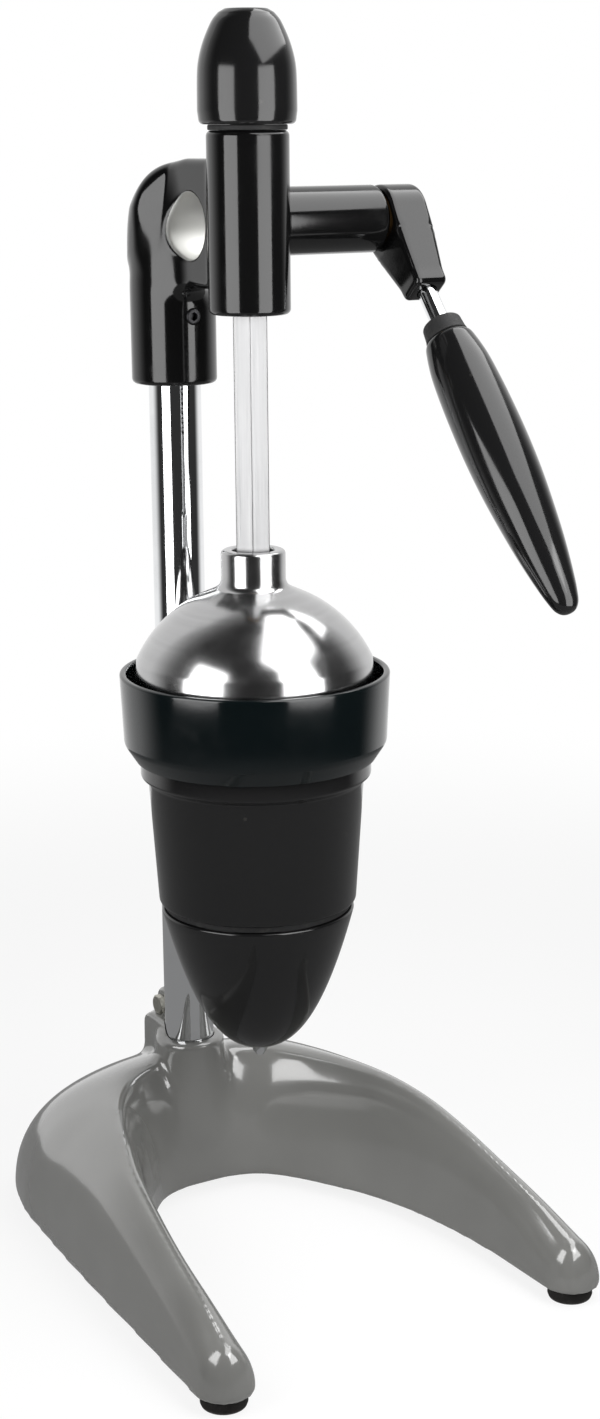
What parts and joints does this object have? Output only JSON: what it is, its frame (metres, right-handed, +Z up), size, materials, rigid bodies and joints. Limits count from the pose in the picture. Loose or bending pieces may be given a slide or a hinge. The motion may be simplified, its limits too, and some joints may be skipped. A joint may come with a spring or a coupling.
{
  "type": "lever citrus juice press",
  "caption": "Bench lever press for citrus juice: a rack-and-pinion head on a column drives a dome down onto a strainer cone in a ring-held cup above a horseshoe base.",
  "frame": {"origin": "point on the table under the axis of the ram and cup", "axes": "+Z up along the ram, +X towards the lever, +Y back towards the column"},
  "size_m": [0.18, 0.2399, 0.486],
  "materials": {
    "grey_paint": "gloss enamel on cast iron",
    "black_paint": "high-gloss enamel on a casting",
    "ring_paint": "high-gloss blue-black enamel",
    "black_plastic": "high gloss",
    "chromed_steel": "mirror",
    "polished_steel": "polished with faint turning marks",
    "bright_steel": "bright drawn",
    "zinc_plated_steel": "satin zinc plate",
    "dark_steel": "oiled black",
    "bronze": "plain machined",
    "foot_rubber": "matt",
    "collar_rubber": "matt"
  },
  "bodies": {
    "stand": {"base_casting": "grey_paint", "foot_front_left": "foot_rubber", "foot_front_right": "foot_rubber", "foot_rear_left": "foot_rubber", "foot_rear_right": "foot_rubber", "foot_screw_front_left": "zinc_plated_steel", "foot_screw_front_right": "zinc_plated_steel", "foot_screw_rear_left": "zinc_plated_steel", "foot_screw_rear_right": "zinc_plated_steel", "base_pinch_bolt": "zinc_plated_steel", "base_pinch_nut": "zinc_plated_steel", "column_tube": "chromed_steel", "head_casting": "black_paint", "head_set_screw": "dark_steel", "lower_guide_bush": "bronze", "upper_guide_bush": "bronze", "pinion_bush_inner": "bronze", "pinion_bush_outer": "bronze", "holder_ring": "ring_paint", "holder_clamp_bolt": "zinc_plated_steel", "holder_clamp_nut": "zinc_plated_steel", "cup_body": "black_plastic", "strainer": "polished_steel", "joint_seal": "collar_rubber", "funnel": "black_plastic", "spout_nozzle": "chromed_steel"},
    "ram": {"ram_rack": "bright_steel", "top_knob": "black_plastic", "knob_bumper": "collar_rubber", "press_dome": "polished_steel", "dome_washer": "zinc_plated_steel", "dome_screw": "zinc_plated_steel"},
    "crank": {"pinion_shaft": "dark_steel", "thrust_washer": "bronze", "lever_hub": "black_paint", "hub_washer": "zinc_plated_steel", "hub_screw": "zinc_plated_steel", "lever_rod": "chromed_steel", "rod_set_screw": "dark_steel", "grip_collar": "collar_rubber", "lever_grip": "black_plastic"}
  },
  "joints": [
    {"name": "crank_turn", "type": "hinge", "parent": "stand", "child": "crank", "pos_m": [0, 0.01348, 0.4108], "axis": [1, 0, 0], "range_deg": [-535.9, 0]},
    {"name": "ram_slide", "type": "slide", "parent": "stand", "child": "ram", "axis": [0, 0, 1], "range_m": [0, 0.076]}
  ],
  "couplings": [
    {"joint": "ram_slide", "follows": "crank_turn", "m_per_rad": -0.008125}
  ]
}
